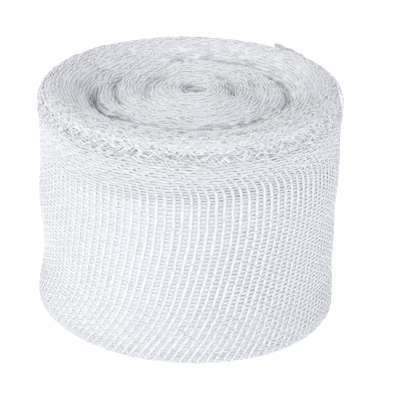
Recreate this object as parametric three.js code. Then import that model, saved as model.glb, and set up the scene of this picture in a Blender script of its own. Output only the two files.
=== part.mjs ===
// A roll of woven cotton gauze bandage, standing on one end. Millimetres, +Z up,
// origin in the middle of the end that it stands on. The gauze is one long strip,
// wound from the middle outward, counter-clockwise as seen from above. The roll is
// one solid of its wound form, and the last stretch of the strip, whose cut end
// stands a little proud of the rim, is a curved sheet laid in its own step.

import * as THREE from 'three';
import { mergeVertices } from 'three/addons/utils/BufferGeometryUtils.js';

// The strip and the form that it is wound to.
const STRIP_WIDTH = 50;
const RIM_RADIUS = 29.5; // where the top end is highest
const WALL_RADIUS = 33.5; // at the foot of the rounded shoulder
const SHOULDER_Z = 45.5; // where the wall turns in to the shoulder
const FOOT_INNER_RADIUS = 22; // the roll rests on the ring outside this
const FOOT_DISH = 0.6; // how far the wound core stays above what the roll rests on
const FOOT_SLOPE = 2; // width of the slope from that hollow to the ring
const COLUMNS = 96; // steps round the roll
const SHOULDER_TURNS = [20, 40, 58, 75]; // degrees up the rounded shoulder, a row each

// The wall's radius at each height: splayed at the foot, waisted above it.
const WALL = [
  { z: 0, radius: 34.0 },
  { z: 1, radius: 34.4 },
  { z: 4, radius: 34.2 },
  { z: 8, radius: 33.75 },
  { z: 12, radius: 33.45 },
  { z: 18, radius: 33.4 },
  { z: 27, radius: 33.5 },
  { z: 34, radius: 33.2 },
  { z: 39, radius: 33.05 },
  { z: 43, radius: 33.3 },
  { z: 45.5, radius: 33.5 },
];

// How far the wall is out of round, at the foot and at the shoulder: the amount,
// the number of bulges round the roll, and the angle of the first one.
const FOOT_BULGES = [
  { out: 0.45, count: 2, at: 90 },
  { out: 0.15, count: 3, at: -50 },
];
const SHOULDER_BULGES = [
  { out: 0.25, count: 1, at: 200 },
  { out: 0.34, count: 2, at: 45 },
];
const FOOT_BULGE_HEIGHT = 14;
const SHOULDER_BULGE_DEPTH = 20;

// The top end's height at each radius: a raised rim, a slope down to the deep
// crease, and the flatter wound core inside it.
const TOP = [
  { radius: 0, z: 47.7 },
  { radius: 4, z: 48.1 },
  { radius: 10, z: 48.2 },
  { radius: 16, z: 47.9 },
  { radius: 20, z: 47.4 },
  { radius: 22, z: 47.2 },
  { radius: 24.5, z: 48.2 },
  { radius: 27, z: 49.3 },
  { radius: 29.5, z: 50 },
];
const TOP_ROW_STEP = 1.35;

// Creases between the bundles of turns on the top end. Each follows the winding
// from one angle to another, in degrees counter-clockwise from +X.
const CREASES = [
  { name: 'deep right', from: -62, to: 108, startRadius: 20.6, endRadius: 22.3, depth: 1.7, width: 1.5 },
  { name: 'deep left', from: 150, to: 292, startRadius: 23.6, endRadius: 21.2, depth: 1.9, width: 1.6 },
  { name: 'core right', from: -45, to: 95, startRadius: 8.3, endRadius: 12.4, depth: 1.1, width: 1.3 },
  { name: 'core left', from: 135, to: 228, startRadius: 10.8, endRadius: 10.0, depth: 1.2, width: 1.4 },
  { name: 'middle left', from: 125, to: 222, startRadius: 16.4, endRadius: 16.0, depth: 0.9, width: 1.2 },
  { name: 'middle right', from: -32, to: 40, startRadius: 14.0, endRadius: 14.4, depth: 0.6, width: 1.2 },
  { name: 'rim left', from: 140, to: 240, startRadius: 27.8, endRadius: 28.4, depth: 0.7, width: 1.2 },
  { name: 'rim right', from: -40, to: 30, startRadius: 26.4, endRadius: 26.8, depth: 0.6, width: 1.2 },
];
const CREASE_FADE = 28; // degrees over which a crease starts and dies out
const EYE_RADIUS = 1.5; // the small hollow where the winding starts
const EYE_DEPTH = 2.0;

// The loose end: the last stretch of the strip, up to its cut edge.
const END_ANGLE = 50;
const END_ARC = 55;
const FREE_ARC = 44; // the stretch of it that stands freer of the shoulder
const SHEET_THICKNESS = 1.0;
const SHEET_GAP = 0.3;
const SHEET_STEP = 0.55; // how far the cut edge stands out from the turn beside it
const SHEET_CURL = 0.5; // how much further its last few millimetres lift
const CURL_ARC = 12;
const SHEET_TOP_AT_START = 47.6;
const SHEET_TOP_AT_END = 49.6;
const SHEET_LEAN = 1.1; // how far its top edge leans in over the shoulder
const SHEET_SHOULDER_ROWS = [0.3, 0.65, 1]; // shares of its height above the wall
const SHEET_COLUMNS = 20;
const STEP_INNER_RADIUS = 27; // how far in over the rim its step reaches
const STEP_HAIR = 0.05; // degrees to each side of the step's edge where its points lie

const radians = THREE.MathUtils.degToRad;
const degrees = THREE.MathUtils.radToDeg;
const smoothstep = THREE.MathUtils.smoothstep;
const mix = THREE.MathUtils.lerp;

// A value read off one of the tables above, with a smooth slope between its rows.
function along(table, column, value, at) {
  if (at <= table[0][column]) return table[0][value];
  for (let i = 1; i < table.length; i++) {
    const low = table[i - 1];
    const high = table[i];
    if (at > high[column]) continue;
    return mix(low[value], high[value], (at - low[column]) / (high[column] - low[column]));
  }
  return table[table.length - 1][value];
}

// The angle counted upward from a start angle, 0 to 360.
function anglePast(start, angle) {
  return (((angle - start) % 360) + 360) % 360;
}

function bulge(bulges, angle) {
  let out = 0;
  for (const row of bulges) out += row.out * Math.cos(row.count * radians(angle - row.at));
  return out;
}

// How far the wall is pushed out of round at a height and an angle.
function outOfRound(z, angle) {
  const foot = 1 - smoothstep(z, 0, FOOT_BULGE_HEIGHT);
  const shoulder = smoothstep(z, SHOULDER_Z - SHOULDER_BULGE_DEPTH, SHOULDER_Z);
  return foot * bulge(FOOT_BULGES, angle) + shoulder * bulge(SHOULDER_BULGES, angle);
}

// The radius of the rounded outline at a height, wall and shoulder.
function outlineRadius(z) {
  if (z <= SHOULDER_Z) return along(WALL, 'z', 'radius', z);
  const rise = Math.min((z - SHOULDER_Z) / (STRIP_WIDTH - SHOULDER_Z), 1);
  return RIM_RADIUS + (WALL_RADIUS - RIM_RADIUS) * Math.sqrt(1 - rise * rise);
}

// The outermost turn's outer face falls by one step just past the cut edge, as the
// turn below comes to the surface there, and climbs back to full size round the roll.
function windingDrop(angle) {
  return SHEET_STEP * (1 - anglePast(END_ANGLE, angle) / 360);
}

// True in the step that the loose end lies in.
function inRecess(angle) {
  const margin = degrees(SHEET_GAP / WALL_RADIUS);
  return anglePast(END_ANGLE - END_ARC - margin, angle) < END_ARC + 2 * margin;
}

function creaseDepth(radius, angle) {
  let depth = EYE_DEPTH * (1 - smoothstep(radius, 0, EYE_RADIUS));
  for (const crease of CREASES) {
    const length = crease.to - crease.from;
    const past = anglePast(crease.from, angle);
    if (past > length) continue;
    const share = past / length;
    const fade = smoothstep(past, 0, CREASE_FADE) * (1 - smoothstep(past, length - CREASE_FADE, length));
    const off = (radius - mix(crease.startRadius, crease.endRadius, share)) / crease.width;
    depth += crease.depth * fade * Math.exp(-off * off);
  }
  return depth;
}

// The half outline that is spun into the roll, from the middle of the bottom end,
// out along the foot, up the wall and over the shoulder to the middle of the top.
function rollOutline() {
  const points = [new THREE.Vector2(0, FOOT_DISH)];
  points.push(new THREE.Vector2(FOOT_INNER_RADIUS / 2, FOOT_DISH));
  points.push(new THREE.Vector2(FOOT_INNER_RADIUS - FOOT_SLOPE, FOOT_DISH));
  points.push(new THREE.Vector2(FOOT_INNER_RADIUS, 0));
  points.push(new THREE.Vector2((FOOT_INNER_RADIUS + WALL[0].radius) / 2, 0));
  for (const row of WALL) points.push(new THREE.Vector2(row.radius, row.z));
  for (const turn of SHOULDER_TURNS) {
    const z = SHOULDER_Z + (STRIP_WIDTH - SHOULDER_Z) * Math.sin(radians(turn));
    points.push(new THREE.Vector2(outlineRadius(z), z));
  }
  const rows = Math.round(RIM_RADIUS / TOP_ROW_STEP);
  for (let row = rows; row >= 0; row--) {
    const radius = (RIM_RADIUS * row) / rows;
    points.push(new THREE.Vector2(radius, along(TOP, 'radius', 'z', radius)));
  }
  return points;
}

// Columns of points beside the step of the loose end move up to its two edges, so
// that the step is as steep as a cut edge.
function snapToStep(angle) {
  const margin = degrees(SHEET_GAP / WALL_RADIUS);
  const columnStep = 360 / COLUMNS;
  for (const edge of [END_ANGLE - END_ARC - margin, END_ANGLE + margin]) {
    const past = anglePast(edge, angle);
    if (past < columnStep) return edge + STEP_HAIR;
    if (past > 360 - columnStep) return edge - STEP_HAIR;
  }
  return angle;
}

// How far the outermost turn lies inside the full outline: by the depth of the loose
// end's step under it, and elsewhere by what the winding has still to climb.
function setBack(angle) {
  return inRecess(angle) ? SHEET_THICKNESS + SHEET_GAP : windingDrop(angle);
}

function makeRoll() {
  const geometry = new THREE.LatheGeometry(rollOutline(), COLUMNS);
  geometry.rotateX(Math.PI / 2);
  geometry.deleteAttribute('normal');
  geometry.deleteAttribute('uv');
  const merged = mergeVertices(geometry, 1e-3);
  const place = merged.attributes.position;
  for (let i = 0; i < place.count; i++) {
    const radius = Math.hypot(place.getX(i), place.getY(i));
    let z = place.getZ(i);
    const even = degrees(Math.atan2(place.getY(i), place.getX(i)));
    const angle = mix(even, snapToStep(even), smoothstep(radius, FOOT_INNER_RADIUS, RIM_RADIUS));
    const push = smoothstep(radius, FOOT_INNER_RADIUS, RIM_RADIUS) * outOfRound(z, angle);
    const back = smoothstep(radius, STEP_INNER_RADIUS, RIM_RADIUS + 1) * setBack(angle);
    const moved = radius + push - back;
    if (z > SHOULDER_Z) z -= creaseDepth(radius, angle);
    place.setXYZ(i, moved * Math.cos(radians(angle)), moved * Math.sin(radians(angle)), z);
  }
  return merged;
}

// The loose end's outer face: the roll's own outline where it leaves the winding,
// more upright and standing a little proud towards the cut edge.
function sheetRadius(z, angle) {
  const free = smoothstep(angle, END_ANGLE - FREE_ARC, END_ANGLE);
  const above = Math.max(z - SHOULDER_Z, 0) / (SHEET_TOP_AT_END - SHOULDER_Z);
  const upright = above > 0 ? WALL_RADIUS - SHEET_LEAN * above ** 2 : outlineRadius(z);
  const curl = SHEET_CURL * smoothstep(angle, END_ANGLE - CURL_ARC, END_ANGLE) ** 2;
  return mix(outlineRadius(z), upright, free) + outOfRound(z, angle) + curl;
}

// The height of one row of the loose end's points. Its top edge rises to the cut end.
function sheetHeight(row, angle) {
  if (row < WALL.length) return WALL[row].z;
  const top = mix(SHEET_TOP_AT_START, SHEET_TOP_AT_END, smoothstep(angle, END_ANGLE - END_ARC, END_ANGLE));
  return mix(SHOULDER_Z, top, SHEET_SHOULDER_ROWS[row - WALL.length]);
}

function makeLooseEnd() {
  const band = new THREE.Shape();
  const start = radians(END_ANGLE - END_ARC);
  const end = radians(END_ANGLE);
  band.absarc(0, 0, WALL_RADIUS, start, end, false);
  band.absarc(0, 0, WALL_RADIUS - SHEET_THICKNESS, end, start, true);
  const rows = WALL.length + SHEET_SHOULDER_ROWS.length - 1;
  const geometry = new THREE.ExtrudeGeometry(band, {
    depth: rows,
    steps: rows,
    curveSegments: SHEET_COLUMNS,
    bevelEnabled: false,
  });
  geometry.deleteAttribute('normal');
  geometry.deleteAttribute('uv');
  const merged = mergeVertices(geometry, 1e-3);
  const place = merged.attributes.position;
  for (let i = 0; i < place.count; i++) {
    const angle = degrees(Math.atan2(place.getY(i), place.getX(i)));
    const depth = WALL_RADIUS - Math.hypot(place.getX(i), place.getY(i));
    const z = sheetHeight(Math.round(place.getZ(i)), angle);
    const radius = sheetRadius(z, angle) - depth;
    place.setXYZ(i, radius * Math.cos(radians(angle)), radius * Math.sin(radians(angle)), z);
  }
  return merged;
}

function cotton(shade) {
  return new THREE.MeshStandardMaterial({ color: shade, roughness: 0.95, metalness: 0 });
}

function piece(name, geometry, material) {
  geometry.computeVertexNormals();
  const mesh = new THREE.Mesh(geometry, material);
  mesh.name = name;
  return mesh;
}

const group = new THREE.Group();
group.add(piece('gauze_roll', makeRoll(), cotton('#e4e7ec')));
group.add(piece('loose_end', makeLooseEnd(), cotton('#e8eaee')));

export default group;
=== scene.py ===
import math

import bpy
import numpy as np
from mathutils import Matrix, Vector


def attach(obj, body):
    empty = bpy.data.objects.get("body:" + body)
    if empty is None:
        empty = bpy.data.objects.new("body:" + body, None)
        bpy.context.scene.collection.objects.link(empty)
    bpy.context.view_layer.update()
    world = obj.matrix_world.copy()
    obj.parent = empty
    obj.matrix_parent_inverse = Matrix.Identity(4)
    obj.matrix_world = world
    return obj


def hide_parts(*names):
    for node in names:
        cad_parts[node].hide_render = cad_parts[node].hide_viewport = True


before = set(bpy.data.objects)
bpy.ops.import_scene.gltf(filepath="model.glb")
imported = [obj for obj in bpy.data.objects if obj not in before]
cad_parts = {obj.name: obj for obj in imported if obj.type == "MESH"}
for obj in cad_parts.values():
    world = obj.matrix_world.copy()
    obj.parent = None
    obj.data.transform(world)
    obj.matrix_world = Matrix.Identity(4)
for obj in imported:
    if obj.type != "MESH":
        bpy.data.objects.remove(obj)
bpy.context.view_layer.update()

# Camera: a long lens close to the roll, looking down on it from the front, with the
# roll a little left of and above the middle of a square picture.
CAMERA_ELEVATION = math.radians(24.5)
CAMERA_ROLL = math.radians(1.2)
CAMERA_DISTANCE = 0.285
AIM = Vector((0, 0, 0.025))
LENS_MM = 114.0
SENSOR_MM = 36
SHIFT_RIGHT = 0.0275
SHIFT_UP = -0.038

back = Vector((0, -math.cos(CAMERA_ELEVATION), math.sin(CAMERA_ELEVATION)))
level_up = Vector((0, math.sin(CAMERA_ELEVATION), math.cos(CAMERA_ELEVATION)))
level_right = Vector((1, 0, 0))
right = level_right * math.cos(CAMERA_ROLL) + level_up * math.sin(CAMERA_ROLL)
up = level_up * math.cos(CAMERA_ROLL) - level_right * math.sin(CAMERA_ROLL)
camera = bpy.data.objects.new("camera", bpy.data.cameras.new("camera"))
camera.data.lens = LENS_MM
camera.data.sensor_width = SENSOR_MM
camera.data.shift_x = SHIFT_RIGHT
camera.data.shift_y = SHIFT_UP
camera.data.clip_start = 0.01
camera.data.clip_end = 20
facing = Matrix((right, up, back)).transposed().to_4x4()
camera.matrix_world = Matrix.Translation(AIM + back * CAMERA_DISTANCE) @ facing
bpy.context.scene.collection.objects.link(camera)
bpy.context.scene.camera = camera

# The wound core: the many close inner turns of one strip of bleached cotton gauze,
# wound from the middle outward. It shows through the open weave of the outermost turn
# and between the turns' edges. Lengths are in millimetres and angles in degrees.
MM = 0.001
STRIP_WIDTH = 50.0
RIM_RADIUS = 29.5
WALL_RADIUS = 33.5
SHOULDER_Z = 45.5
TURN_PITCH = 0.79
HALF_LAYER = 0.35
END_ANGLE = 53.0

# The wall's radius by height, and the top end's height by radius.
WALL = [(0, 34.9), (1, 34.9), (4, 34.4), (8, 33.5), (12, 33.1), (18, 33.25),
        (27, 33.5), (34, 33.25), (39, 33.1), (43, 33.3), (45.5, 33.5), (50, 33.5)]
WALL_EASED_OVER = 3.0
TOP = [(0, 47.7), (4, 48.1), (10, 48.2), (16, 47.9), (20, 47.4), (22, 47.2),
       (24.5, 48.2), (27, 49.3), (29.5, 50)]
TOP_EASED_OVER = 2.0
CURVE_POINTS = 501


def smoothstep(value, low, high):
    share = np.clip((value - low) / (high - low), 0, 1)
    return share * share * (3 - 2 * share)


def mix(low, high, share):
    return low + (high - low) * share


def turned_from(angle, at):
    """How far an angle is turned from another, from -180 to 180."""
    return np.mod(angle - at + 180, 360) - 180


def near_turn(angle, at, sharpness):
    """1 at an angle round the roll, falling to 0 on either side of it."""
    return np.exp(sharpness * (np.cos(np.radians(angle - at)) - 1))


def eased(rows, width):
    """A table as a curve with its corners rounded over a width."""
    grid = np.linspace(rows[0][0], rows[-1][0], CURVE_POINTS)
    step = grid[1] - grid[0]
    reach = max(int(width / step / 2), 1)
    raw = np.interp(grid, [row[0] for row in rows], [row[1] for row in rows])
    padded = np.pad(raw, reach, mode="edge")
    window = np.hanning(2 * reach + 3)[1:-1]
    smooth = np.convolve(padded, window / window.sum(), mode="valid")
    return lambda at: np.interp(at, grid, smooth)


wall_radius = eased(WALL, WALL_EASED_OVER)
flat_top_height = eased(TOP, TOP_EASED_OVER)

# How the wall is out of round: the size and number of its lobes and where one of them
# is, then where the foot is drawn in and splayed, and the waist pushed to the left.
FOOT_LOBES = [(0.45, 2, 90), (0.15, 3, -50)]
FOOT_FADES_BY = 14
FOOT_DRAWN_IN = 1.0
FOOT_DRAWN_IN_AT = 22.92
FOOT_SPLAY = 0.8
FOOT_SPLAY_AT = -45.84
FOOT_SPLAY_SHARPNESS = 6
SHOULDER_LOBES = [(0.25, 1, 200), (0.34, 2, 45)]
SHOULDER_GROWS_OVER = 20
WAIST_TO_LEFT = 0.5
WAIST_Z = 23
WAIST_HALF = 6


def lobes(rows, angle):
    return sum(size * np.cos(count * np.radians(angle - at)) for size, count, at in rows)


def out_of_round(z, angle):
    """How far the wall is pushed out of round, at a height and an angle."""
    drawn_in = ((1 + np.cos(np.radians(angle - FOOT_DRAWN_IN_AT))) / 2) ** 2
    foot = lobes(FOOT_LOBES, angle) - FOOT_DRAWN_IN * drawn_in
    foot = foot + FOOT_SPLAY * near_turn(angle, FOOT_SPLAY_AT, FOOT_SPLAY_SHARPNESS)
    foot = foot * (1 - smoothstep(z, 0, FOOT_FADES_BY))
    shoulder = lobes(SHOULDER_LOBES, angle)
    shoulder = shoulder * smoothstep(z, SHOULDER_Z - SHOULDER_GROWS_OVER, SHOULDER_Z)
    at_waist = np.exp(-((z - WAIST_Z) / WAIST_HALF) ** 2)
    return foot + shoulder - WAIST_TO_LEFT * np.cos(np.radians(angle)) * at_waist


# Creases between the bundles of turns: depth, half width, strength of the painted shade
# in them, and the radius at each of some angles. The first two are the long ones in front
# and behind.
CREASES = [
    (1.6, 0.9, 1.7, [(160, 21.4), (189, 21.2), (205, 21.5), (220, 22.2), (235, 22.8),
                     (250, 23.0), (270, 23.0), (290, 22.6), (305, 22.0), (330, 21.2)]),
    (1.2, 0.9, 0.45, [(-45, 21.6), (-27, 21.1), (11, 21.4), (41, 21.8), (70, 22.2),
                      (90, 21.8), (125, 18.8)]),
    (1.1, 0.7, 0.5, [(-40, 9.6), (0, 9.0), (27, 8.6), (66, 10.2), (85, 12.2)]),
    (1.0, 0.8, 0.5, [(110, 9.2), (129, 9.3), (164, 10.0), (195, 10.8), (225, 11.4)]),
    (1.1, 0.8, 0.4, [(120, 19.0), (145, 18.6), (163, 17.5), (185, 16.5), (225, 17.3)]),
    (0.7, 1.4, 0.15, [(120, 23.8), (143, 23.8), (172, 24.4), (200, 25.6), (225, 26.6)]),
    (0.6, 0.8, 0.2, [(-45, 14.6), (-10, 14.2), (20, 14.6), (45, 15.4)]),
    (0.6, 0.9, 0.2, [(-50, 26.2), (-20, 26.4), (10, 26.6), (40, 27.0)]),
]
CREASE_FADE = 30
CREASE_SKIRT = 0.25
CREASE_SKIRT_WIDER = 3
EYE_RADIUS = 3.2
EYE_DEPTH = 3.4


def across_crease(radius, angle, half, path):
    """How many half widths off a crease a point is, and how far the crease has faded."""
    first, last = path[0][0], path[-1][0]
    past = np.mod(angle - first, 360)
    fade = smoothstep(past, 0, CREASE_FADE)
    fade = fade * (1 - smoothstep(past, last - first - CREASE_FADE, last - first))
    middle = np.interp(past, [row[0] - first for row in path], [row[1] for row in path])
    return (radius - middle) / half, fade


def crease_depth(radius, angle):
    depth = EYE_DEPTH * (1 - smoothstep(radius, 0, EYE_RADIUS))
    for deep, half, _, path in CREASES:
        off, fade = across_crease(radius, angle, half, path)
        skirt = CREASE_SKIRT * np.exp(-(off / CREASE_SKIRT_WIDER) ** 2)
        depth = depth + fade * deep * (np.exp(-off * off) + skirt)
    return depth


# The top end droops at the front, where its dish is also wider than behind.
FRONT_AT = -90
FRONT_HALF = 75
FRONT_DROOP = 1.5
LIP_DROOP = 1.0
LIP_FROM_RADIUS = 23
DISH_WIDER = 2.3
DISH_WIDER_AT = -105
DISH_WIDER_HALF = 42
DISH_WIDER_GROWS = (14, 22)
DISH_WIDER_FADES_FROM = 24
SHOULDER_END = 0.995
SHOULDER_POWER = 2.5


def at_front(angle):
    return np.exp(-(turned_from(angle, FRONT_AT) / FRONT_HALF) ** 2)


def end_height(radius, angle):
    """The height of the top end at a radius, over the shoulder too."""
    over = np.clip((radius - RIM_RADIUS) / (WALL_RADIUS - RIM_RADIUS), 0, SHOULDER_END)
    fall = (1 - over ** SHOULDER_POWER) ** (1 / SHOULDER_POWER)
    shoulder = SHOULDER_Z + (STRIP_WIDTH - SHOULDER_Z) * fall
    off = turned_from(angle, DISH_WIDER_AT) / DISH_WIDER_HALF
    wider = DISH_WIDER * np.exp(-off ** 2) * smoothstep(radius, *DISH_WIDER_GROWS)
    wider = wider * (1 - smoothstep(radius, DISH_WIDER_FADES_FROM, RIM_RADIUS))
    flat = flat_top_height(np.minimum(radius, RIM_RADIUS) - wider) - crease_depth(radius, angle)
    lip = smoothstep(radius, LIP_FROM_RADIUS, RIM_RADIUS)
    droop = LIP_DROOP * lip + (FRONT_DROOP - LIP_DROOP) * over ** 2
    return np.where(radius > RIM_RADIUS, shoulder, flat) - at_front(angle) * droop


# The winding, by length along the strip from its cut end.
EYE_OF_WINDING = 1.6
OUTER_MID = WALL_RADIUS - HALF_LAYER
CLIMB = TURN_PITCH / (2 * math.pi)
STRIP_LENGTH = (OUTER_MID ** 2 - EYE_OF_WINDING ** 2) / (2 * CLIMB)
LEAST_RADIUS = 0.1


def winding(s):
    """The radius and the angle at a length along the strip from its cut end."""
    radius = np.sqrt(np.maximum(OUTER_MID ** 2 - 2 * CLIMB * s, LEAST_RADIUS ** 2))
    return radius, END_ANGLE - np.degrees((OUTER_MID - radius) / CLIMB)


def length_at(radius):
    """The length along the strip from its cut end at a radius of the winding."""
    return (OUTER_MID ** 2 - radius ** 2) / (2 * CLIMB)


# How the strip's top edge rises and falls: wave lengths and heights, and how much less
# they are at the rim.
EDGE_WAVES = [(3.1, 0.10), (5.3, 0.14), (9.7, 0.16), (23.0, 0.14)]
EDGE_DRIFT = 1.3
EDGE_DRIFT_LENGTHS = 2.7
RIM_EVENNESS = 0.35
RIM_EVEN_FROM = (23, 28)
EYE_EVEN_WITHIN = 8
edge_draw = np.random.default_rng(11)
edge_phases = edge_draw.uniform(0, 1, len(EDGE_WAVES))


def edge_unevenness(s):
    total = 0
    for (length, high), phase in zip(EDGE_WAVES, edge_phases):
        drift = EDGE_DRIFT * np.sin(s / (EDGE_DRIFT_LENGTHS * length))
        total = total + high * np.sin(2 * math.pi * (s / length + phase) + drift)
    return total


# Where the strip lies: the loose end stands up and lifts at its cut, the wall's top
# edge leans in over the shoulder, the foot's edge is tucked under the loose end, and
# the second turn is pressed against the outermost.
EYE_PLACE = (1.4, 0.4)
EYE_PLACE_FADES = (3, 13)
END_ARC_MM = 32.0
END_FREE_SHARE = 0.8
END_TOP = 49.8
END_CURL = 0.15
END_CURL_MM = 7.0
END_SETTLED = 0.4
END_SETTLED_MM = 26
EDGE_LEAN_IN = 0.45
LAST_EDGE_LEAN_IN = 0.35
LAST_LEAN_FADES_OVER = 40
LEAN_IN_HIGH = 3.5
WALL_FULLNESS = 0.4
OUTER_FROM_RADIUS = 22
FOOT_TUCK = 0.9
FOOT_TUCK_HIGH = 3.5
FOOT_TUCK_ALONG = (20, 45)
FOOT_CLEAR = 0.12
PRESSED_TOGETHER = 0.47
COVERED_FROM = 243.0
COVERED_GROWS = (-12, 24)
COVERED_RADII = (29, 31)
COVERED_BELOW_EDGE = (7, 1)
FIRST_HOLLOW = (20.0, 22.0, 0.6)


def strip_place(s, w, out=0.0):
    """The point of the wound strip at a length from the cut end, a height on the strip
    from 0 to its width, and a distance out from its middle surface."""
    radius, angle = winding(s)
    radius = radius + 0 * w
    free = 1 - smoothstep(s, 0, END_FREE_SHARE * END_ARC_MM)
    evenness = mix(1, RIM_EVENNESS, smoothstep(radius, *RIM_EVEN_FROM))
    loose = smoothstep(radius, 0, EYE_EVEN_WITHIN) * evenness
    top = end_height(radius + HALF_LAYER, angle) + edge_unevenness(s) * loose
    top = mix(top, END_TOP + 0 * top, free)
    first, last, hollow = FIRST_HOLLOW
    bottom = hollow * (1 - smoothstep(radius, first, last)) + FOOT_CLEAR
    z = bottom + (top - bottom) * w / STRIP_WIDTH
    outer = smoothstep(radius, OUTER_FROM_RADIUS, RIM_RADIUS)
    shape = outer * (wall_radius(z) - WALL_RADIUS + out_of_round(z, angle) + WALL_FULLNESS)
    last_turn = 1 - smoothstep(s, COVERED_FROM - LAST_LEAN_FADES_OVER, COVERED_FROM)
    lean = EDGE_LEAN_IN + LAST_EDGE_LEAN_IN * last_turn
    lean_in = lean * outer * (1 - free) * smoothstep(w, STRIP_WIDTH - LEAN_IN_HIGH, STRIP_WIDTH)
    curl = END_CURL * (1 - smoothstep(s, 0, END_CURL_MM)) ** 2
    tucked = FOOT_TUCK * (1 - smoothstep(w, 0, FOOT_TUCK_HIGH))
    tucked = tucked * (1 - smoothstep(s, *FOOT_TUCK_ALONG))
    settled = END_SETTLED * (1 - smoothstep(s, 0, END_SETTLED_MM))
    grows_from, grows_to = COVERED_GROWS
    covered = smoothstep(s, COVERED_FROM + grows_from, COVERED_FROM + grows_to)
    covered = covered * smoothstep(radius, *COVERED_RADII)
    below, above = COVERED_BELOW_EDGE
    on_wall = 1 - smoothstep(w, STRIP_WIDTH - below, STRIP_WIDTH - above)
    pressed = PRESSED_TOGETHER * covered * on_wall
    reach = radius + shape - lean_in - tucked - settled + curl + out + pressed
    return around_eye(reach, angle, radius, z)


def around_eye(reach, angle, radius, z):
    """Points by reach and angle, moved aside with the eye of the winding near it."""
    turn = np.radians(angle)
    moved = 1 - smoothstep(radius, *EYE_PLACE_FADES)
    across = reach * np.cos(turn) + EYE_PLACE[0] * moved
    deep = reach * np.sin(turn) + EYE_PLACE[1] * moved
    return np.stack([across, deep, z + 0 * reach], axis=-1)


# The weave, plain and open: yarns along the strip, closer at its edges and towards the
# top, and yarns across it, which lean round the roll by their height on the strip.
WEFT_PITCH = 1.71
WARP_PITCH = 0.94
CLOSE_WARP_PITCH = 0.66
CLOSE_WARPS_FROM = 39.0
SELVEDGE_STEPS = [0.18, 0.6, 1.02, 1.46, 1.95, 2.55]
SELVEDGE_GAP = 0.3
LEAN = [(0, 0), (6.3, 4.0), (10.8, 6.2), (15.2, 7.4), (19.7, 8.4), (24.2, 9.3), (28.7, 10.0),
        (33.2, 10.4), (39.8, 10.5), (42, 9.9), (44.5, 7.9), (46.5, 5.4), (50, 1.2)]
LEAN_EASED_OVER = 3.5
LEAN_STARTS = (4.0, 45.0)

lean_at = eased(LEAN, LEAN_EASED_OVER)
selvedge = np.array(SELVEDGE_STEPS)
open_warps = np.arange(SELVEDGE_STEPS[-1] + WARP_PITCH, CLOSE_WARPS_FROM, WARP_PITCH)
close_to = STRIP_WIDTH - SELVEDGE_STEPS[-1] - SELVEDGE_GAP
close_warps = np.arange(open_warps[-1] + CLOSE_WARP_PITCH, close_to, CLOSE_WARP_PITCH)
WARP_HEIGHTS = np.concatenate([selvedge, open_warps, close_warps, STRIP_WIDTH - selvedge[::-1]])


def lean_of(s, w):
    """How far round the roll a thread across the strip leans, fading to the cut."""
    return lean_at(w) * smoothstep(s, *LEAN_STARTS)


def warp_number(w):
    """Which thread along the strip passes a height, as a number with a fraction."""
    return np.interp(w, WARP_HEIGHTS, np.arange(len(WARP_HEIGHTS)))


def pick_number(s, w):
    """Which thread across the strip passes a point, as a number with a fraction."""
    number = s / WEFT_PITCH
    for _ in range(4):
        number = (s + lean_of(number * WEFT_PITCH, w)) / WEFT_PITCH
    return number


# The core's surface lies just behind the outermost turn, further in where that turn is
# looser and under the loose end, and just under the edges of the turns.
CORE_SINK = 0.15
LOOSER_AT_RIGHT = 0.14
LOOSER_AT = -62
LOOSER_SHARPNESS = 5
CLOSE_ROWS_SINK = 0.12
CLOSE_ROWS_FROM = (36, 42)
CORE_UNDER_END = 0.07
CORE_BELOW_EDGES = 0.5
CORE_NEARER_AT_RIM = 0.15
CORE_NEARER_FROM = (23, 27)
CORE_OVER_WALL = 1.7
CORE_OVER_WALL_WITHIN = 0.6
CORE_EDGE_OFF = 0.75
CORE_EDGE_OFF_WITHIN = 3
CORE_GAP_SINK = 0.9
CORE_GAP_DEPTHS = (0.8, 2.5)
CORE_EYE = 0.4
CORE_BOTTOM_CLEAR = 0.6
CORE_COLUMNS = 240
CORE_WALL_ROWS = np.linspace(0.012, 0.88, 60)
CORE_BOTTOM_SHARES = np.linspace(0.02, 0.985, 12)
CORE_TOP_STEPS = np.concatenate([np.linspace(0, 4, 12), np.linspace(4.4, 31.8, 62)])
# Painted shade on the core: how dark it is painted down the deep creases, where, and the radii of the eye
# painted dark.
GAP_SHADE = 0.6
GAP_SHADE_DEPTHS = (0.6, 2.6)
GAP_SHADE_FROM_WALL = (2, 4)
EYE_PAINTED_SHADE_RADII = (1.5, 2.5)


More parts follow.
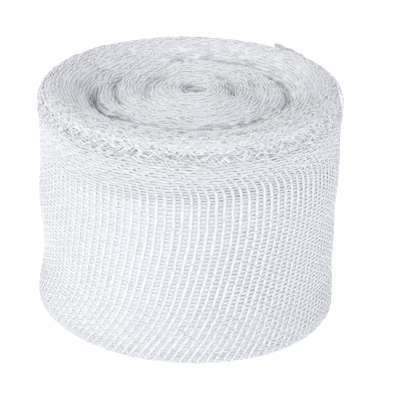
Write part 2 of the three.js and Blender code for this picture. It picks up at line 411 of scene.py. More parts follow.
def core_piece():
    share = np.linspace(0, 1, CORE_COLUMNS + 1)
    under_end = 1 - smoothstep(share, 0, CORE_UNDER_END)
    radius = OUTER_MID - TURN_PITCH * share
    s = length_at(radius)
    s_under = length_at(radius - TURN_PITCH)
    radius = radius - TURN_PITCH * under_end
    third = length_at(radius - 2 * TURN_PITCH)
    angle = END_ANGLE - 360 * share
    turn = np.radians(angle)
    sink = CORE_SINK + LOOSER_AT_RIGHT * near_turn(angle, LOOSER_AT, LOOSER_SHARPNESS)
    plain = np.stack([s / WEFT_PITCH, 0 * s, 0 * s], axis=-1)
    rows, weave, painted_gap_shades = [], [], []
    first, last, hollow = FIRST_HOLLOW
    for part in CORE_BOTTOM_SHARES:
        reach = part * radius
        rise = hollow * (1 - smoothstep(reach, first, last)) + CORE_BOTTOM_CLEAR
        rows.append(np.stack([reach * np.cos(turn), reach * np.sin(turn), rise], axis=-1))
        weave.append(plain)
        painted_gap_shades.append(0 * s)
    for w in STRIP_WIDTH * CORE_WALL_ROWS:
        wall = mix(strip_place(s, w + 0 * s), strip_place(s_under, w + 0 * s), under_end[:, None])
        reach = np.linalg.norm(wall[:, :2], axis=1) - sink
        reach = reach - CLOSE_ROWS_SINK * smoothstep(w, *CLOSE_ROWS_FROM)
        rows.append(np.stack([reach * np.cos(turn), reach * np.sin(turn), wall[:, 2]], axis=-1))
        weave.append(np.stack([pick_number(third, w), warp_number(w) + 0 * s, 1 + 0 * s], axis=-1))
        painted_gap_shades.append(0 * s)
    pushed_out = reach - (radius - sink - CLOSE_ROWS_SINK)
    for step in CORE_TOP_STEPS:
        at = reach - step * (reach - CORE_EYE) / CORE_TOP_STEPS[-1]
        as_wound = at - pushed_out * smoothstep(at, OUTER_FROM_RADIUS, RIM_RADIUS)
        edge = as_wound + mix(CORE_EDGE_OFF, HALF_LAYER, smoothstep(step, 0, CORE_EDGE_OFF_WITHIN))
        height = end_height(edge, angle) - CORE_BELOW_EDGES
        height = height + CORE_NEARER_AT_RIM * smoothstep(at, *CORE_NEARER_FROM)
        over_wall = 1 - smoothstep(step, 0, CORE_OVER_WALL_WITHIN)
        height = mix(height, wall[:, 2] + CORE_OVER_WALL, over_wall)
        sunk = crease_depth(as_wound, angle)
        height = height - CORE_GAP_SINK * smoothstep(sunk, *CORE_GAP_DEPTHS)
        rows.append(around_eye(at, angle, at, height))
        weave.append(plain)
        # Painted shade: the core is painted dark down the deep creases and in the eye.
        painted_gap_shade = GAP_SHADE * smoothstep(sunk, *GAP_SHADE_DEPTHS) * smoothstep(step, *GAP_SHADE_FROM_WALL)
        painted_gap_shades.append(np.maximum(painted_gap_shade, 1 - smoothstep(at, *EYE_PAINTED_SHADE_RADII)))
    places = np.array(rows)[:, :-1].reshape(-1, 3) * MM
    weave = np.array(weave)
    number = np.arange(len(places)).reshape(len(rows), CORE_COLUMNS)
    beside = np.roll(number, -1, axis=1)
    faces = np.stack([number[:-1], number[1:], beside[1:], beside[:-1]], axis=-1).reshape(-1, 4).tolist()
    faces.append(number[0].tolist())
    faces.append(number[-1, ::-1].tolist())
    corners = np.stack([weave[:-1, :-1], weave[1:, :-1], weave[1:, 1:], weave[:-1, 1:]], axis=2)
    corners = np.concatenate([corners.reshape(-1, 3), np.zeros((2 * CORE_COLUMNS, 3))])
    mesh = bpy.data.meshes.new("wound_core")
    mesh.from_pydata(places.tolist(), [], faces)
    mesh.shade_smooth()
    mesh.attributes.new("weave", "FLOAT_VECTOR", "CORNER").data.foreach_set("vector", corners.ravel())
    painted_gap_shade = np.array(painted_gap_shades)[:, :-1].ravel()
    mesh.attributes.new("painted_gap_shade", "FLOAT", "POINT").data.foreach_set("value", painted_gap_shade)
    piece = bpy.data.objects.new("wound_core", mesh)
    bpy.context.scene.collection.objects.link(piece)
    return piece


# Close-packed gauze: white with a faint darker mottle, and the next turn's plain weave
# raised on it a little and painted a little darker between its yarns as painted shade;
# painted shade also makes it dark down the creases and in the eye.
PACKED_DARK = (0.87, 0.88, 0.90, 1)
PACKED_LIGHT = (0.92, 0.93, 0.945, 1)
PACKED_PAINTED_SHADE = (0.22, 0.22, 0.235, 1)
PACKED_RAMP = (0.2, 0.75)
PACKED_ROUGHNESS = 0.95
PACKED_SPECULAR = 0.2
MOTTLE_SCALE = 700
THREAD_RELIEF = 0.1
WARPS_BELOW_WEFTS = 0.25
PACKED_BUMP = 0.0002
BUMP_STRENGTH = 0.6


def core_material():
    material = bpy.data.materials.new("packed_gauze")
    material.use_nodes = True
    nodes = material.node_tree.nodes
    links = material.node_tree.links

    def maths(operation, first, second=None):
        node = nodes.new("ShaderNodeMath")
        node.operation = operation
        for socket, value in zip(node.inputs, (first, second)):
            if value is None:
                continue
            if isinstance(value, float):
                socket.default_value = value
            else:
                links.new(value, socket)
        return node.outputs["Value"]

    surface = nodes["Principled BSDF"]
    surface.inputs["Roughness"].default_value = PACKED_ROUGHNESS
    surface.inputs["Specular IOR Level"].default_value = PACKED_SPECULAR
    weave = nodes.new("ShaderNodeAttribute")
    weave.attribute_name = "weave"
    parts = nodes.new("ShaderNodeSeparateXYZ")
    links.new(weave.outputs["Vector"], parts.inputs["Vector"])
    wefts = maths("COSINE", maths("MULTIPLY", parts.outputs["X"], 2 * math.pi))
    warps = maths("COSINE", maths("MULTIPLY", parts.outputs["Y"], 2 * math.pi))
    threads = maths("MAXIMUM", wefts, maths("SUBTRACT", warps, WARPS_BELOW_WEFTS))
    threads = maths("MULTIPLY", threads, parts.outputs["Z"])
    place = nodes.new("ShaderNodeTexCoord")
    loose = nodes.new("ShaderNodeTexNoise")
    loose.inputs["Scale"].default_value = MOTTLE_SCALE
    loose.inputs["Detail"].default_value = 3
    links.new(place.outputs["Object"], loose.inputs["Vector"])
    # This height also sets the colour: a faint mottle, and the next turn's weave painted lighter on its
    # yarns and darker between them as painted shade.
    height = maths("ADD", maths("MULTIPLY", threads, THREAD_RELIEF), loose.outputs["Fac"])
    ramp = nodes.new("ShaderNodeValToRGB")
    for element, at, colour in zip(ramp.color_ramp.elements, PACKED_RAMP, (PACKED_DARK, PACKED_LIGHT)):
        element.position = at
        element.color = colour
    links.new(height, ramp.inputs["Fac"])
    # Painted shade, mixed into the core's colour down the creases and in the eye.
    painted_gap_shade = nodes.new("ShaderNodeAttribute")
    painted_gap_shade.attribute_name = "painted_gap_shade"
    shade = nodes.new("ShaderNodeMix")
    shade.data_type = "RGBA"
    shade.inputs["B"].default_value = PACKED_PAINTED_SHADE
    links.new(painted_gap_shade.outputs["Fac"], shade.inputs["Factor"])
    links.new(ramp.outputs["Color"], shade.inputs["A"])
    links.new(shade.outputs["Result"], surface.inputs["Base Color"])
    bump = nodes.new("ShaderNodeBump")
    bump.inputs["Distance"].default_value = PACKED_BUMP
    bump.inputs["Strength"].default_value = BUMP_STRENGTH
    links.new(height, bump.inputs["Height"])
    links.new(bump.outputs["Normal"], surface.inputs["Normal"])
    return material


core = core_piece()
core.data.materials.append(core_material())
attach(core, "root")
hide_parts("gauze_roll")

# The edges of the inner turns on the top end: the few close cotton yarns along the
# edge of the strip, held by the yarns across it, which turn back over that edge.
# Painted shade on the yarns, greyer down the creases and in the eye: its strength and radii at the eye, how
# much wider it is than a crease, and the heights it fades in over.
EYE_SHADE = 1.0
EYE_SHADE_RADII = (1.7, 3.2)
SHADE_WIDER = 1.5
SHADE_HEIGHTS = (38, 43)


def crease_shade(places):
    """How much painted shade a crease or the eye gets at points in millimetres, from 0 to 1."""
    radius = np.hypot(places[:, 0], places[:, 1])
    angle = np.degrees(np.arctan2(places[:, 1], places[:, 0]))
    shade = EYE_SHADE * (1 - smoothstep(radius, *EYE_SHADE_RADII))
    for _, half, strength, path in CREASES:
        off, fade = across_crease(radius, angle, half * SHADE_WIDER, path)
        shade = shade + fade * strength * np.exp(-off * off)
    return np.clip(shade, 0, 1) * smoothstep(places[:, 2], *SHADE_HEIGHTS)


def tubes(points, outward, wide, thick, sides):
    """Closed flat-oval tubes along rows of points: vertices, loops, loop counts and the
    yarn's own coordinates, which are the length along it and the place round it."""
    count, steps = points.shape[:2]
    along = np.gradient(points, axis=1)
    along /= np.linalg.norm(along, axis=2, keepdims=True)
    across = np.cross(along, outward)
    across /= np.linalg.norm(across, axis=2, keepdims=True)
    lift = np.cross(across, along)
    turn = (np.arange(sides) + 0.5) * 2 * math.pi / sides
    wide = np.broadcast_to(wide, (count, steps))[:, :, None, None]
    thick = np.broadcast_to(thick, (count, steps))[:, :, None, None]
    cosine = np.cos(turn)[None, None, :, None]
    sine = np.sin(turn)[None, None, :, None]
    ring = points[:, :, None] + across[:, :, None] * cosine * wide / 2
    ring = ring + lift[:, :, None] * sine * thick / 2
    pieces = np.linalg.norm(np.diff(points, axis=1), axis=2)
    run = np.concatenate([np.zeros((count, 1)), np.cumsum(pieces, axis=1)], axis=1)
    yarn = np.stack(np.broadcast_arrays(run[:, :, None], np.cos(turn), np.sin(turn)), axis=-1)
    number = np.arange(count * steps * sides).reshape(count, steps, sides)
    near = number[:, :-1]
    far = number[:, 1:]
    quads = np.stack([near, far, np.roll(far, -1, axis=2), np.roll(near, -1, axis=2)], axis=-1).reshape(-1)
    caps = np.concatenate([number[:, 0].reshape(-1), number[:, -1, ::-1].reshape(-1)])
    sizes = np.concatenate([np.full(len(quads) // 4, 4), np.full(2 * count, sides)])
    return ring.reshape(-1, 3), np.concatenate([quads, caps]), sizes, yarn.reshape(-1, 3)


def yarn_piece(name, bundles, material, draw):
    """One mesh object of several bundles of tubes."""
    places, loops, sizes, yarns, tones = [], [], [], [], []
    first = 0
    for points, outward, wide, thick, sides in bundles:
        place, loop, size, yarn = tubes(points, outward, wide, thick, sides)
        places.append(place)
        loops.append(loop + first)
        sizes.append(size)
        yarns.append(yarn)
        tones.append(np.repeat(draw.uniform(0, 1, points.shape[0]), points.shape[1] * sides))
        first += len(place)
    places = np.concatenate(places) * MM
    loops = np.concatenate(loops)
    sizes = np.concatenate(sizes)
    mesh = bpy.data.meshes.new(name)
    mesh.vertices.add(len(places))
    mesh.vertices.foreach_set("co", places.ravel())
    mesh.loops.add(len(loops))
    mesh.loops.foreach_set("vertex_index", loops.astype(np.int32))
    mesh.polygons.add(len(sizes))
    mesh.polygons.foreach_set("loop_start", (np.cumsum(sizes) - sizes).astype(np.int32))
    mesh.polygons.foreach_set("use_smooth", np.ones(len(sizes), dtype=bool))
    mesh.update(calc_edges=True)
    yarns = np.concatenate(yarns).ravel()
    mesh.attributes.new("yarn", "FLOAT_VECTOR", "POINT").data.foreach_set("vector", yarns)
    mesh.attributes.new("tone", "FLOAT", "POINT").data.foreach_set("value", np.concatenate(tones))
    # Painted shade: how much greyer each point is painted down the creases and in the eye.
    mesh.attributes.new("shade", "FLOAT", "POINT").data.foreach_set("value", crease_shade(places / MM))
    mesh.materials.append(material)
    piece = bpy.data.objects.new(name, mesh)
    bpy.context.scene.collection.objects.link(piece)
    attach(piece, "root")
    return piece


# Bleached cotton yarn: white with a cold cast, streaked along its twist, a little
# lighter and darker from thread to thread, and painted greyer down a crease and in the eye
# as painted shade.
STREAK_STRETCH = (1.1, 2.2, 2.2)
STREAK_SCALE = 1.6
STREAK_APART = 97.0
TONE_SHARE = 0.45
STREAK_SHARE = 0.55


def cotton_yarn_group():
    group = bpy.data.node_groups.new("cotton_yarn", "ShaderNodeTree")
    face = group.interface
    for name in ("Light", "Dark", "Painted Crease Shade"):
        face.new_socket(name, in_out="INPUT", socket_type="NodeSocketColor")
    face.new_socket("Color", in_out="OUTPUT", socket_type="NodeSocketColor")
    face.new_socket("Height", in_out="OUTPUT", socket_type="NodeSocketFloat")
    nodes = group.nodes
    links = group.links
    given = nodes.new("NodeGroupInput")
    result = nodes.new("NodeGroupOutput")
    yarn = nodes.new("ShaderNodeAttribute")
    yarn.attribute_name = "yarn"
    tone = nodes.new("ShaderNodeAttribute")
    tone.attribute_name = "tone"
    stretch = nodes.new("ShaderNodeVectorMath")
    stretch.operation = "MULTIPLY"
    stretch.inputs[1].default_value = STREAK_STRETCH
    links.new(yarn.outputs["Vector"], stretch.inputs[0])
    apart = nodes.new("ShaderNodeMath")
    apart.operation = "MULTIPLY"
    apart.inputs[1].default_value = STREAK_APART
    links.new(tone.outputs["Fac"], apart.inputs[0])
    streak = nodes.new("ShaderNodeTexNoise")
    streak.noise_dimensions = "4D"
    streak.inputs["Scale"].default_value = STREAK_SCALE
    streak.inputs["Detail"].default_value = 3
    links.new(stretch.outputs["Vector"], streak.inputs["Vector"])
    links.new(apart.outputs["Value"], streak.inputs["W"])
    weight = nodes.new("ShaderNodeMath")
    weight.operation = "MULTIPLY"
    weight.inputs[1].default_value = STREAK_SHARE
    links.new(streak.outputs["Fac"], weight.inputs[0])
    both = nodes.new("ShaderNodeMath")
    both.operation = "MULTIPLY_ADD"
    both.inputs[1].default_value = TONE_SHARE
    links.new(tone.outputs["Fac"], both.inputs[0])
    links.new(weight.outputs["Value"], both.inputs[2])
    blend = nodes.new("ShaderNodeMix")
    blend.data_type = "RGBA"
    links.new(both.outputs["Value"], blend.inputs["Factor"])
    links.new(given.outputs["Dark"], blend.inputs["A"])
    links.new(given.outputs["Light"], blend.inputs["B"])
    # Painted shade: the yarn's colour is mixed towards the crease shade colour by the stored shade value.
    shade = nodes.new("ShaderNodeAttribute")
    shade.attribute_name = "shade"
    shaded = nodes.new("ShaderNodeMix")
    shaded.data_type = "RGBA"
    links.new(shade.outputs["Fac"], shaded.inputs["Factor"])
    links.new(blend.outputs["Result"], shaded.inputs["A"])
    links.new(given.outputs["Painted Crease Shade"], shaded.inputs["B"])
    links.new(shaded.outputs["Result"], result.inputs["Color"])
    links.new(streak.outputs["Fac"], result.inputs["Height"])
    return group


yarn_group = cotton_yarn_group()
YARN_ROUGHNESS = 0.92
YARN_SPECULAR = 0.25
YARN_SHEEN = 0.12
YARN_SHEEN_ROUGHNESS = 0.6
YARN_BUMP = 0.00006
# The colour of the painted shade down the creases and in the eye.
CREASE_SHADE_PAINT = (0.54, 0.55, 0.58, 1)


def yarn_material(name, light, dark, depth=0):
    """Cotton yarn in two tones, which light enters to a depth in metres."""
    material = bpy.data.materials.new(name)
    material.use_nodes = True
    nodes = material.node_tree.nodes
    links = material.node_tree.links
    surface = nodes["Principled BSDF"]
    surface.inputs["Roughness"].default_value = YARN_ROUGHNESS
    surface.inputs["Specular IOR Level"].default_value = YARN_SPECULAR
    surface.inputs["Sheen Weight"].default_value = YARN_SHEEN
    surface.inputs["Sheen Roughness"].default_value = YARN_SHEEN_ROUGHNESS
    surface.inputs["Subsurface Weight"].default_value = 1.0 if depth else 0.0
    surface.inputs["Subsurface Radius"].default_value = (1, 1, 1)
    surface.inputs["Subsurface Scale"].default_value = depth
    cotton = nodes.new("ShaderNodeGroup")
    cotton.node_tree = yarn_group
    cotton.inputs["Light"].default_value = light
    cotton.inputs["Dark"].default_value = dark
    cotton.inputs["Painted Crease Shade"].default_value = CREASE_SHADE_PAINT
    bump = nodes.new("ShaderNodeBump")
    bump.inputs["Distance"].default_value = YARN_BUMP
    bump.inputs["Strength"].default_value = BUMP_STRENGTH
    links.new(cotton.outputs["Height"], bump.inputs["Height"])
    links.new(bump.outputs["Normal"], surface.inputs["Normal"])
    links.new(cotton.outputs["Color"], surface.inputs["Base Color"])
    return material


# Where the yarns along the strip close up over those across it: above a wavy line that
# stays higher at the front right, all the way down on the left, and low at the far right.
CLOSED_FROM = (36.5, 41)
HELD_OPEN = 5
HELD_OPEN_AT = -55
HELD_OPEN_SHARPNESS = 5
LINE_WAVES = 0.9
LINE_WAVE_SHIFT = 0.6
CLOSED_LEFT = (0.9, 190, 6)
CLOSED_RIGHT = (0.9, -20, 8)
CLOSED_RIGHT_BELOW = (32, 37)


def rows_hide_wefts(s, w):
    """How far the threads along the strip close up over those across it, from 0 to 1."""
    angle = winding(s)[1]
    line = HELD_OPEN * near_turn(angle, HELD_OPEN_AT, HELD_OPEN_SHARPNESS)
    line = line + LINE_WAVES * np.sin(3 * np.radians(angle) + LINE_WAVE_SHIFT)
    low, high = CLOSED_FROM
    above = smoothstep(w, low + line, high + line)
    most, at, sharpness = CLOSED_LEFT
    left = most * near_turn(angle, at, sharpness)
    most, at, sharpness = CLOSED_RIGHT
    low_right = most * near_turn(angle, at, sharpness) * (1 - smoothstep(w, *CLOSED_RIGHT_BELOW))
    return np.maximum(above, np.maximum(left, low_right))


def wobble(at, lengths, draw):
    """A smooth seeded unevenness of about one unit either way, its own for each row."""
    rows = (at.shape[0],) + (1,) * (at.ndim - 1)
    total = np.zeros_like(at)
    for length in lengths:
        own = length * draw.uniform(0.8, 1.25, rows)
        total += np.sin(2 * math.pi * (at / own + draw.uniform(0, 1, rows)))
    return total / math.sqrt(len(lengths))


def strip_outward(s, w):
    turn = np.radians(winding(s)[1]) + 0 * w
    return np.stack([np.cos(turn), np.sin(turn), 0 * turn], axis=-1)


WARP_WIDE = 0.54
EDGE_WARP_WIDE = 0.38
WARP_THICK = 0.22
WARP_CRIMP = 0.06
WARP_WANDER = 0.07
WARP_WANDER_LENGTHS = [4.1, 11.0, 29.0]
WARP_WIDER_WHERE_CLOSED = 0.2
WARP_SLUBS = 0.12
WARP_SLUB_LENGTHS = [3.3, 9.1]
EDGE_TANGLE = 0.16
EDGE_TANGLE_LENGTHS = [1.9, 3.3]
EDGE_TANGLE_FROM = (6.5, 1)
CUT_THREADS_PAST = 4


def warp_rows(heights, first, last, step, draw, sides, wander=WARP_WANDER, wide=WARP_WIDE):
    """Threads along the strip, between two threads across it given by their numbers."""
    count = max(int((last - first) * WEFT_PITCH / step), 2)
    picks = np.linspace(first, last, count)[None, :] + np.zeros((len(heights), 1))
    w = heights[:, None] + np.zeros_like(picks)
    s = picks * WEFT_PITCH - lean_of(picks * WEFT_PITCH, w)
    below, above = EDGE_TANGLE_FROM
    near_edge = smoothstep(w, STRIP_WIDTH - below, STRIP_WIDTH - above)
    w = w + wander * wobble(s, WARP_WANDER_LENGTHS, draw)
    w = w + EDGE_TANGLE * near_edge * wobble(s, EDGE_TANGLE_LENGTHS, draw)
    s = np.maximum(s, -CUT_THREADS_PAST)
    number = warp_number(heights)[:, None]
    out = -WARP_CRIMP * np.cos(math.pi * (number + pick_number(s, w)))
    slub = 1 + WARP_SLUBS * wobble(s, WARP_SLUB_LENGTHS, draw)
    wide = wide * (1 + WARP_WIDER_WHERE_CLOSED * rows_hide_wefts(s, w)) * slub
    return strip_place(s, w, out), strip_outward(s, w), wide, WARP_THICK * slub, sides


# Numbers of the threads across the strip where each turn ends, counted from the cut.
OUTER_TURN_MM = 211.0
SECOND_TURN_MM = 205.0


def even_picks(length):
    return 2 * int(round(length / WEFT_PITCH / 2))


LOOSE_PICKS = even_picks(END_ARC_MM)
OUTER_LAST = LOOSE_PICKS + even_picks(OUTER_TURN_MM)
SECOND_LAST = OUTER_LAST + even_picks(SECOND_TURN_MM)
LAST_PICK = int(STRIP_LENGTH / WEFT_PITCH)

TOP_WARPS = 4
TOP_WARP_WANDER = 0.06
# Painted light: the inner turns' yarn is painted lighter than the outermost turn's yarn of the same gauze,
# for light that gets in between the turns.
WHITE_YARN = (0.965, 0.97, 0.98, 1)
WHITE_YARN_DARK = (0.93, 0.936, 0.95, 1)
gauze_yarn = yarn_material("gauze_yarn", WHITE_YARN, WHITE_YARN_DARK)
top_heights = WARP_HEIGHTS[-TOP_WARPS:]
inner_draw = np.random.default_rng(21)
inner_edges = yarn_piece(
    "inner_turn_edges",
    [
        warp_rows(heights, SECOND_LAST, LAST_PICK, step, inner_draw, sides, TOP_WARP_WANDER, EDGE_WARP_WIDE)
        for heights, step, sides in [(top_heights[-1:], 0.6, 4), (top_heights[:-1], 0.75, 3)]
    ],
    gauze_yarn,
    inner_draw,
)

# The yarns across the inner turns, where they come up to the strip's edge and turn
# back over it in small loops. The strip's weave holds them.
WEFT_WIDE = 0.92
WEFT_THICK = 0.22
WEFT_CRIMP = 0.04
WEFT_PROUD = 0.08
CLOSE_SINK = 0.14
CLOSE_NARROWER = 0.25
WEFT_EDGE_SIZES = (0.42, 0.38)
WEFT_EDGE_FROM = 1.2
WEFT_WANDER = 0.06
WEFT_WANDER_LENGTHS = [6.1, 13.0, 31.0]
WEFT_SPACING_SPREAD = 0.07
NEXT_WEFT_WANDERS_FROM = 7
WEFT_SLUBS = 0.14
WEFT_SLUB_LENGTHS = [2.3, 7.7]
TANGLE = 0.6
TANGLE_FROM = 6.5
TANGLE_PAST_CUT = (1, 9)
TANGLE_ACROSS = 0.7
TANGLE_OUT = 0.05
TANGLE_LENGTHS = [2.1, 3.7]
NEXT_WEFT_TANGLES_FROM = 9
OVER_EDGE_RISE = [0.04, 0.08, 0.04]
OVER_EDGE_SHARES = [0.22, 0.5, 0.78]


def weft_pairs(picks, low, steps, draw, sides, wander=WEFT_WANDER):
    """Threads across the strip, two at a time: up one, over the edge and down the next."""
    rise = np.linspace(low, STRIP_WIDTH, steps)
    over = np.array(OVER_EDGE_RISE) + STRIP_WIDTH
    w = np.concatenate([rise, over, rise[::-1]])[None, :] + np.zeros((len(picks), 1))
    cross = np.concatenate([np.zeros(steps), OVER_EDGE_SHARES, np.ones(steps)])[None, :]
    pick = picks[:, None] + cross
    side = wobble(w + NEXT_WEFT_WANDERS_FROM * cross, WEFT_WANDER_LENGTHS, draw) * wander
    start = pick * WEFT_PITCH
    spacing = draw.normal(0, WEFT_SPACING_SPREAD, (len(picks), 1)) * (1 - cross)
    s = start - lean_of(start, w) + side + spacing
    out = WEFT_CRIMP * np.cos(math.pi * (warp_number(w) + pick))
    tangle = TANGLE * smoothstep(w, STRIP_WIDTH - TANGLE_FROM, STRIP_WIDTH)
    tangle = tangle * smoothstep(start, *TANGLE_PAST_CUT)
    along = draw.normal(0, 1, (len(picks), 1))
    s = s + tangle * (along + cross * draw.normal(0, TANGLE_ACROSS, (len(picks), 1)))
    own = wobble(w + NEXT_WEFT_TANGLES_FROM * cross, TANGLE_LENGTHS, draw)
    out = out + TANGLE_OUT * tangle * own
    near_edge = smoothstep(w, STRIP_WIDTH - WEFT_EDGE_FROM, STRIP_WIDTH)
    slub = 1 + WEFT_SLUBS * wobble(w, WEFT_SLUB_LENGTHS, draw)
    close = rows_hide_wefts(s, w)
    out = out + (WEFT_PROUD - CLOSE_SINK * close) * (1 - near_edge)
    wide = mix(WEFT_WIDE * (1 - CLOSE_NARROWER * close), WEFT_EDGE_SIZES[0], near_edge) * slub
    thick = mix(WEFT_THICK, WEFT_EDGE_SIZES[1], near_edge)
    s = np.maximum(s, 0)
    return strip_place(s, w, out), strip_outward(s, w), wide, thick, sides


LOOP_HIGH = 1.9
LOOP_STEPS = 5
LOOP_WANDER = 0.2
inner_pairs = np.arange(SECOND_LAST, LAST_PICK - 2, 2)
inner_loops = yarn_piece(
    "inner_turn_loops",
    [weft_pairs(inner_pairs, STRIP_WIDTH - LOOP_HIGH, LOOP_STEPS, inner_draw, 4, LOOP_WANDER)],
    gauze_yarn,
    inner_draw,
)

# The second turn, of the same gauze, wound under the outermost one and showing at the
# shoulder. Lower down the core all but covers it, so its cross yarns start near the top.
SECOND_WARP_STEP = 1.2
SECOND_WEFTS_FROM = 42.5
SECOND_WEFT_STEPS = 16
second_pairs = np.arange(OUTER_LAST, SECOND_LAST, 2)
second_draw = np.random.default_rng(31)
second = yarn_piece(
    "second_turn",
    [
        warp_rows(WARP_HEIGHTS, OUTER_LAST, SECOND_LAST, SECOND_WARP_STEP, second_draw, 3),
        weft_pairs(second_pairs, SECOND_WEFTS_FROM, SECOND_WEFT_STEPS, second_draw, 4),
    ],
    gauze_yarn,
    second_draw,
)

# The outermost turn, whose open plain weave is the roll's wall: its yarns along the
# strip, then those across it, which lean as the strip was pulled askew in winding.
SEE_INTO = 0.0004
# Painted shade: the outermost turn's yarn is painted darker than the inner turns' of the same gauze,
# holding down the light that falls on it.
OPEN_YARN = (0.858, 0.873, 0.898, 1)
OPEN_YARN_DARK = (0.818, 0.833, 0.858, 1)
OUTER_WARP_STEP = 0.62
OUTER_WEFTS_FROM = 0.1
OUTER_WEFT_STEPS = 112
open_yarn = yarn_material("open_gauze_yarn", OPEN_YARN, OPEN_YARN_DARK, SEE_INTO)
outer_pairs = np.arange(LOOSE_PICKS, OUTER_LAST, 2)
outer_draw = np.random.default_rng(41)
outer_warps = yarn_piece(
    "outer_turn_warps",
    [warp_rows(WARP_HEIGHTS, LOOSE_PICKS, OUTER_LAST, OUTER_WARP_STEP, outer_draw, 4)],
    open_yarn,
    outer_draw,
)
outer_wefts = yarn_piece(
    "outer_turn_wefts",
    [weft_pairs(outer_pairs, OUTER_WEFTS_FROM, OUTER_WEFT_STEPS, outer_draw, 6)],
    open_yarn,
    outer_draw,
)

# The loose end: the last stretch of the same strip, laid on the wall and held by its
# own friction, with the cut ends of its long yarns just past the last cross yarn.
# Painted shade: the loose end's yarn is painted darker than the inner turns' of the same gauze, as on the
# outermost turn.
WHITE_END = (0.85, 0.858, 0.875, 1)
WHITE_END_DARK = (0.81, 0.818, 0.835, 1)
PAST_LAST_WEFT = 0.4
end_yarn = yarn_material("loose_end_yarn", WHITE_END, WHITE_END_DARK)
end_pairs = np.arange(0, LOOSE_PICKS, 2)
end_draw = np.random.default_rng(51)
loose_end = yarn_piece(
    "loose_end_gauze",
    [
        warp_rows(WARP_HEIGHTS, -PAST_LAST_WEFT, LOOSE_PICKS, OUTER_WARP_STEP, end_draw, 4),
        weft_pairs(end_pairs, OUTER_WEFTS_FROM, OUTER_WEFT_STEPS, end_draw, 6),
    ],
    end_yarn,
    end_draw,
)
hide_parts("loose_end")

# Fringe: short soft loops of the yarns across the strip that stand past its edge,
# rubbed flat over the shoulder and tangled there, thickest at the front.
FRINGE_COUNT = 2500
FRINGE_STEPS = 4
FRINGE_LENGTHS = (1.0, 2.5)
FRINGE_TILTS = (12, 50)
FRINGE_BEND = 0.07
FRINGE_SIZES = (0.14, 0.21)
FRINGE_FLATNESS = 0.4
FRINGE_LIFT = 0.06
FRINGE_OFF = 0.03
FRINGE_ENDS_DIP = 0.15
FRINGE_SINK = 0.22
FRINGE_STARTS = 6.3
FRINGE_STOPS = 6.5
FRINGE_TOWARDS_WALL = 0.8
FRINGE_ROUND_RADIUS = 32
FRINGE_LOWEST = 44.4
FRINGE_MOSTLY_AT = (-75, 55)
FRINGE_ANYWHERE = 0.7
# Painted light: the fringe's yarn is painted lighter than the outermost turn's of the same gauze, lighting
# up the shoulder.
FRINGE_LIGHT = (0.97, 0.972, 0.98, 1)
FRINGE_DARK = (0.945, 0.948, 0.96, 1)
PROFILE_FROM_RADIUS = 22.5
PROFILE_STEEPENS_AT = 32.5
PROFILE_STEEP_SHARES = np.linspace(0.02, 1, 30) ** 0.6
PROFILE_STEEP_WIDE = 0.98
PROFILE_TOP_POINTS = 80
PROFILE_WALL_POINTS = 30
PROFILE_WALL_STARTS = 0.2
PROFILE_TO = FRINGE_LOWEST - 5
PROFILE_SPIRAL_RADII = (29, 32.5)
SLOPE_OVER = 0.3


def shoulder_profile():
    """Radius, height and length of the way from the top end over the shoulder and down
    the wall, where the roll doesn't droop."""
    top = np.linspace(PROFILE_FROM_RADIUS, PROFILE_STEEPENS_AT, PROFILE_TOP_POINTS)
    steep = PROFILE_STEEPENS_AT + PROFILE_STEEP_WIDE * PROFILE_STEEP_SHARES
    radius = np.concatenate([top, steep])
    height = end_height(radius, -FRONT_AT)
    wall = np.linspace(height[-1] - PROFILE_WALL_STARTS, PROFILE_TO, PROFILE_WALL_POINTS)
    radius = np.concatenate([radius, 0 * wall + WALL_RADIUS])
    height = np.concatenate([height, wall])
    length = np.cumsum(np.hypot(np.diff(radius), np.diff(height)))
    return radius, height, np.concatenate([[0], length])


profile_radius, profile_height, profile_length = shoulder_profile()


def over_shoulder(angle, along):
    """A point and its outward direction on the smooth outside of the roll, at an angle
    and a length along the way over the shoulder."""
    radius = np.interp(along, profile_length, profile_radius)
    height = np.interp(along, profile_length, profile_height)
    ahead = along + SLOPE_OVER
    behind = along - SLOPE_OVER
    fall = np.interp(ahead, profile_length, profile_height)
    fall = fall - np.interp(behind, profile_length, profile_height)
    reach = np.interp(ahead, profile_length, profile_radius)
    reach = reach - np.interp(behind, profile_length, profile_radius)
    slope = np.arctan2(fall, reach)
    over = np.clip((radius - RIM_RADIUS) / (WALL_RADIUS - RIM_RADIUS), 0, 1)
    height = height - FRONT_DROOP * at_front(angle) * over ** 2
    outer = smoothstep(radius, OUTER_FROM_RADIUS, RIM_RADIUS)
    wound_in = CLIMB * np.radians(np.mod(END_ANGLE - angle, 360))
    wound_in = wound_in * smoothstep(radius, *PROFILE_SPIRAL_RADII)
    radius = radius - wound_in + outer * (out_of_round(height, angle) + WALL_FULLNESS) - FRINGE_SINK
    turn = np.radians(angle)
    level = -np.sin(slope)
    outward = np.stack([level * np.cos(turn), level * np.sin(turn), np.cos(slope)], axis=-1)
    return np.stack([radius * np.cos(turn), radius * np.sin(turn), height], axis=-1), outward


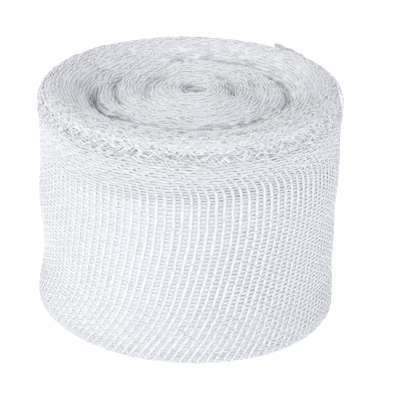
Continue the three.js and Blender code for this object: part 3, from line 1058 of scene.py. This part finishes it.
def fringe_tubes(draw):
    each = (FRINGE_COUNT, 1)
    start = draw.normal(*FRINGE_MOSTLY_AT, each)
    anywhere = draw.uniform(0, 1, each) < FRINGE_ANYWHERE
    start = np.where(anywhere, draw.uniform(0, 360, each), start)
    span = profile_length[-1] - FRINGE_STARTS - FRINGE_STOPS
    along = FRINGE_STARTS + span * draw.uniform(0, 1, each) ** FRINGE_TOWARDS_WALL
    length = draw.uniform(*FRINGE_LENGTHS, each)
    tilt = np.radians(draw.uniform(*FRINGE_TILTS, each)) * draw.choice([-1, 1], each)
    part = np.linspace(0, 1, FRINGE_STEPS)[None, :]
    bend = draw.normal(0, FRINGE_BEND, each) * length * part ** 2
    run = length * part
    angle = start + np.degrees((run * np.cos(tilt) - bend * np.sin(tilt)) / FRINGE_ROUND_RADIUS)
    place, outward = over_shoulder(angle, along + run * np.sin(tilt) + bend * np.cos(tilt))
    lift = draw.uniform(0.0, FRINGE_LIFT, each) * np.sin(math.pi * part)
    lift = lift + FRINGE_OFF - FRINGE_ENDS_DIP * (2 * part - 1) ** 4
    place = place + outward * lift[:, :, None]
    size = draw.uniform(*FRINGE_SIZES, each) * np.ones_like(part)
    return place, outward, size, FRINGE_FLATNESS * size, 4


fringe_draw = np.random.default_rng(71)
fringe_yarn = yarn_material("fringe_yarn", FRINGE_LIGHT, FRINGE_DARK)
fringe = yarn_piece("fringe", [fringe_tubes(fringe_draw)], fringe_yarn, fringe_draw)

# The edges of the inner turns on the bottom end: the first cotton yarn along the strip's
# lower edge, turn by turn, pressed level by what the roll stands on.
FOOT_WARP_STEP = 1.0
FOOT_WANDER = 0.03
foot_draw = np.random.default_rng(61)
foot = yarn_piece(
    "foot_edges",
    [warp_rows(WARP_HEIGHTS[:1], SECOND_LAST, LAST_PICK, FOOT_WARP_STEP, foot_draw, 4, FOOT_WANDER)],
    gauze_yarn,
    foot_draw,
)

# The studio: a pale floor that glows as a light table does, a sky brighter towards the
# front left, a large soft light from there and a weak blue one at the right.
FLOOR_REACH = 2.0
FLOOR_COLOUR = (0.4, 0.4, 0.4, 1)
FLOOR_GLOW = (0.98, 1, 1.03, 1)
FLOOR_GLOW_STRENGTH = 0.86
floor_corners = [(x * FLOOR_REACH, y * FLOOR_REACH, 0) for x, y in ((-1, -1), (1, -1), (1, 1), (-1, 1))]
floor_mesh = bpy.data.meshes.new("floor")
floor_mesh.from_pydata(floor_corners, [], [(0, 1, 2, 3)])
floor = bpy.data.objects.new("floor", floor_mesh)
bpy.context.scene.collection.objects.link(floor)
floor_paint = bpy.data.materials.new("floor")
floor_paint.use_nodes = True
paint = floor_paint.node_tree.nodes["Principled BSDF"]
paint.inputs["Base Color"].default_value = FLOOR_COLOUR
paint.inputs["Roughness"].default_value = 1
paint.inputs["Specular IOR Level"].default_value = 0
paint.inputs["Emission Color"].default_value = FLOOR_GLOW
paint.inputs["Emission Strength"].default_value = FLOOR_GLOW_STRENGTH
floor_mesh.materials.append(floor_paint)

SKY_BRIGHT_TOWARDS = (-0.42, -0.80, 0.15)
SKY_DIM = (0.32, 0.325, 0.36, 1)
SKY_BRIGHT = (1.08, 1.08, 1.095, 1)
world = bpy.data.worlds.new("studio")
world.use_nodes = True
sky = world.node_tree.nodes
sky_links = world.node_tree.links
direction = sky.new("ShaderNodeTexCoord")
towards_light = sky.new("ShaderNodeVectorMath")
towards_light.operation = "DOT_PRODUCT"
towards_light.inputs[1].default_value = Vector(SKY_BRIGHT_TOWARDS).normalized()
sky_links.new(direction.outputs["Generated"], towards_light.inputs[0])
spread = sky.new("ShaderNodeMapRange")
spread.interpolation_type = "SMOOTHSTEP"
spread.inputs["From Min"].default_value = -1
spread.inputs["From Max"].default_value = 1
sky_links.new(towards_light.outputs["Value"], spread.inputs["Value"])
sky_tint = sky.new("ShaderNodeMix")
sky_tint.data_type = "RGBA"
sky_tint.inputs["A"].default_value = SKY_DIM
sky_tint.inputs["B"].default_value = SKY_BRIGHT
sky_links.new(spread.outputs["Result"], sky_tint.inputs["Factor"])
sky_links.new(sky_tint.outputs["Result"], sky["Background"].inputs["Color"])
bpy.context.scene.world = world
bpy.context.scene.view_settings.view_transform = "Standard"
bpy.context.scene.view_settings.look = "None"

# Soft round lights: name, place, width, watts and tint.
LIGHTS = [
    ("front_left", (-0.20, -0.68, 0.68), 0.5, 1.3, (0.99, 0.99, 1.03)),
    ("right_fill", (0.72, -0.45, 0.10), 0.5, 0.45, (0.45, 0.58, 1)),
]
for name, place, width, watts, tint in LIGHTS:
    lamp = bpy.data.lights.new(name, "AREA")
    lamp.shape = "DISK"
    lamp.size = width
    lamp.energy = watts
    lamp.color = tint
    light = bpy.data.objects.new(name, lamp)
    light.location = place
    light.rotation_mode = "QUATERNION"
    light.rotation_quaternion = (AIM - Vector(place)).to_track_quat("-Z", "Y")
    bpy.context.scene.collection.objects.link(light)
